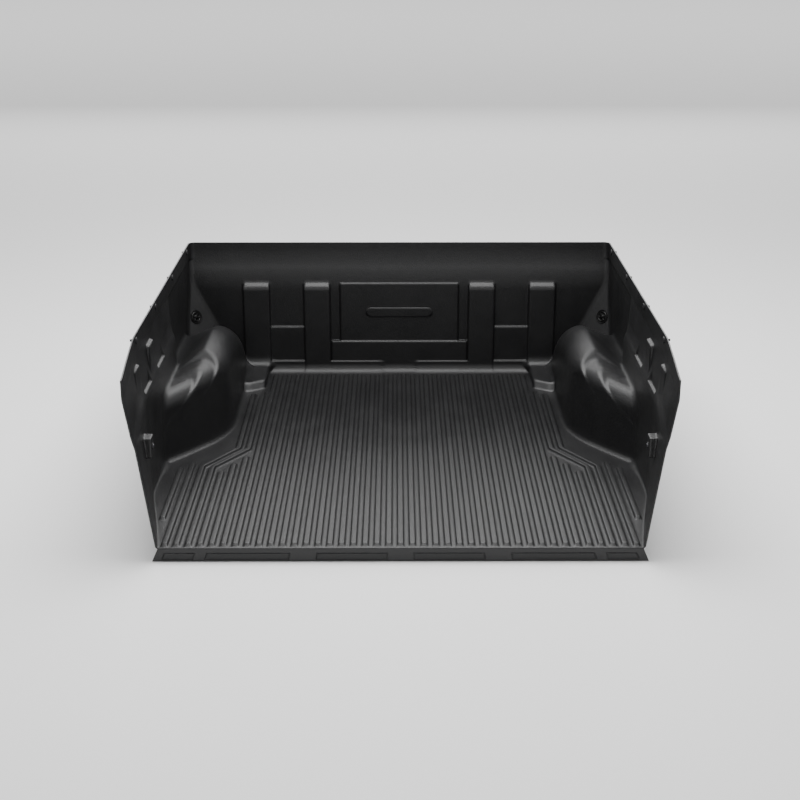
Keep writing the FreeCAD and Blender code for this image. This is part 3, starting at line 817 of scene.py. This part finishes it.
def closed_foam():
    """Closed-cell foam: soft, dull, with fine cells."""
    n = Nodes("closed_cell_foam")
    cells = n.add("ShaderNodeTexVoronoi")
    cells.inputs["Scale"].default_value = 900
    n.link(n.place, cells.inputs["Vector"])
    patchy = n.noise(40, 4, 0.6)
    tone = n.ramp(cells.outputs["Distance"], 0.0, 0.8, 0.1, 0.6)
    tone = n.maths("ADD", tone, n.ramp(patchy, 0.3, 0.7, 0.0, 0.4))
    n.colours(tone, (0.016, 0.016, 0.017), (0.06, 0.06, 0.062))
    n.link(n.ramp(patchy, 0.3, 0.7, 0.82, 0.95), n.shader.inputs["Roughness"])
    n.bump(cells.outputs["Distance"], 0.0005, 0.7)
    return n.material


def pale_floor():
    n = Nodes("studio_floor")
    n.shader.inputs["Base Color"].default_value = (0.86, 0.86, 0.86, 1)
    n.shader.inputs["Roughness"].default_value = 0.8
    return n.material


MATERIALS = {
    "shell": formed_plastic(),
    "plug": moulded_plastic("plug_plastic", (0.0015, 0.0015, 0.0015), (0.004, 0.004, 0.004), 0.30, 0.18),
    "nylon": moulded_plastic("black_nylon", (0.010, 0.010, 0.011), (0.024, 0.024, 0.025), 0.42, 0.35),
    "steel": coated_steel("black_steel", (0.05, 0.05, 0.055), (0.22, 0.22, 0.23), 0.36),
    "spring_steel": coated_steel("phosphated_steel", (0.09, 0.085, 0.08), (0.28, 0.27, 0.26), 0.5),
    "foam": closed_foam(),
}


def dress(obj, material):
    obj.data.materials.clear()
    obj.data.materials.append(material)


skin = liner_skin()
dress(skin, MATERIALS["shell"])
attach(skin, "liner")
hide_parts("liner_shell")

for side, word in ((-1, "left"), (1, "right")):
    plug = corner_plug("plug_cap_" + word, side)
    dress(plug, MATERIALS["plug"])
    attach(plug, "corner_plug_" + word)
    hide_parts("corner_plug_" + word)

for part in frame["record"]["subparts"]:
    dress(frame["nodes"][part["node"]], MATERIALS[part["material_slot"]])


def area_light(name, at, aim, size, power):
    light = bpy.data.lights.new(name, "AREA")
    light.shape = "RECTANGLE"
    light.size, light.size_y = size
    light.energy = power
    lamp = bpy.data.objects.new(name, light)
    lamp.location = at
    lamp.rotation_euler = (Vector(aim) - Vector(at)).to_track_quat("-Z", "Y").to_euler()
    lamp.visible_camera = False
    bpy.context.scene.collection.objects.link(lamp)


FLOOR_REACH = 30.0
FLOOR_CLEARANCE = 0.002
ground = bpy.data.meshes.new("ground")
floor_z = shell_low.z - FLOOR_CLEARANCE
corners = ((-1, -1), (1, -1), (1, 1), (-1, 1))
ground.from_pydata([(a * FLOOR_REACH, b * FLOOR_REACH, floor_z) for a, b in corners], [], [(0, 1, 2, 3)])
floor = bpy.data.objects.new("ground", ground)
bpy.context.scene.collection.objects.link(floor)
dress(floor, pale_floor())

# Each light's name, place, aim, size and power.
LIGHTS = (
    ("overhead", (0, 0.3, 3.2), (0, 0.2, 0), (3.0, 3.0), 210),
    ("front_soft", (0, 7.0, 2.8), (0, 0.3, 0), (9.0, 3.2), 170),
    ("backdrop", (0, 18.0, 9.0), (0, 18.0, 0), (34.0, 20.0), 2600),
    ("rear_soft", (0, -6.2, 3.0), (0, 0.6, 0.3), (4.5, 0.9), 60),
    ("left_soft", (-3.4, -0.4, 2.4), (0, 0, 0.2), (2.0, 1.2), 14),
    ("right_soft", (3.4, -0.4, 2.4), (0, 0, 0.2), (2.0, 1.2), 14),
)
for row in LIGHTS:
    area_light(*row)

WORLD_STRENGTH = 0.45
world = bpy.data.worlds.new("studio")
world.use_nodes = True
world.node_tree.nodes["Background"].inputs["Color"].default_value = (1, 1, 1, 1)
world.node_tree.nodes["Background"].inputs["Strength"].default_value = WORLD_STRENGTH
bpy.context.scene.world = world

# The camera, in bed millimetres and degrees.
CAMERA_AT = Vector((-12.6, -3578.7, 1740.9))
CAMERA_DOWN = 20.026
CAMERA_RIGHT = 0.172
view = bpy.data.cameras.new("camera")
view.lens = 63.03
view.sensor_width = 36.0
camera = bpy.data.objects.new("camera", view)
camera.location = (CAMERA_AT + Vector((0, REAR_Y, BASE_Z))) * MM
camera.rotation_euler = (math.radians(90 - CAMERA_DOWN), 0, math.radians(-CAMERA_RIGHT))
bpy.context.scene.collection.objects.link(camera)
bpy.context.scene.camera = camera
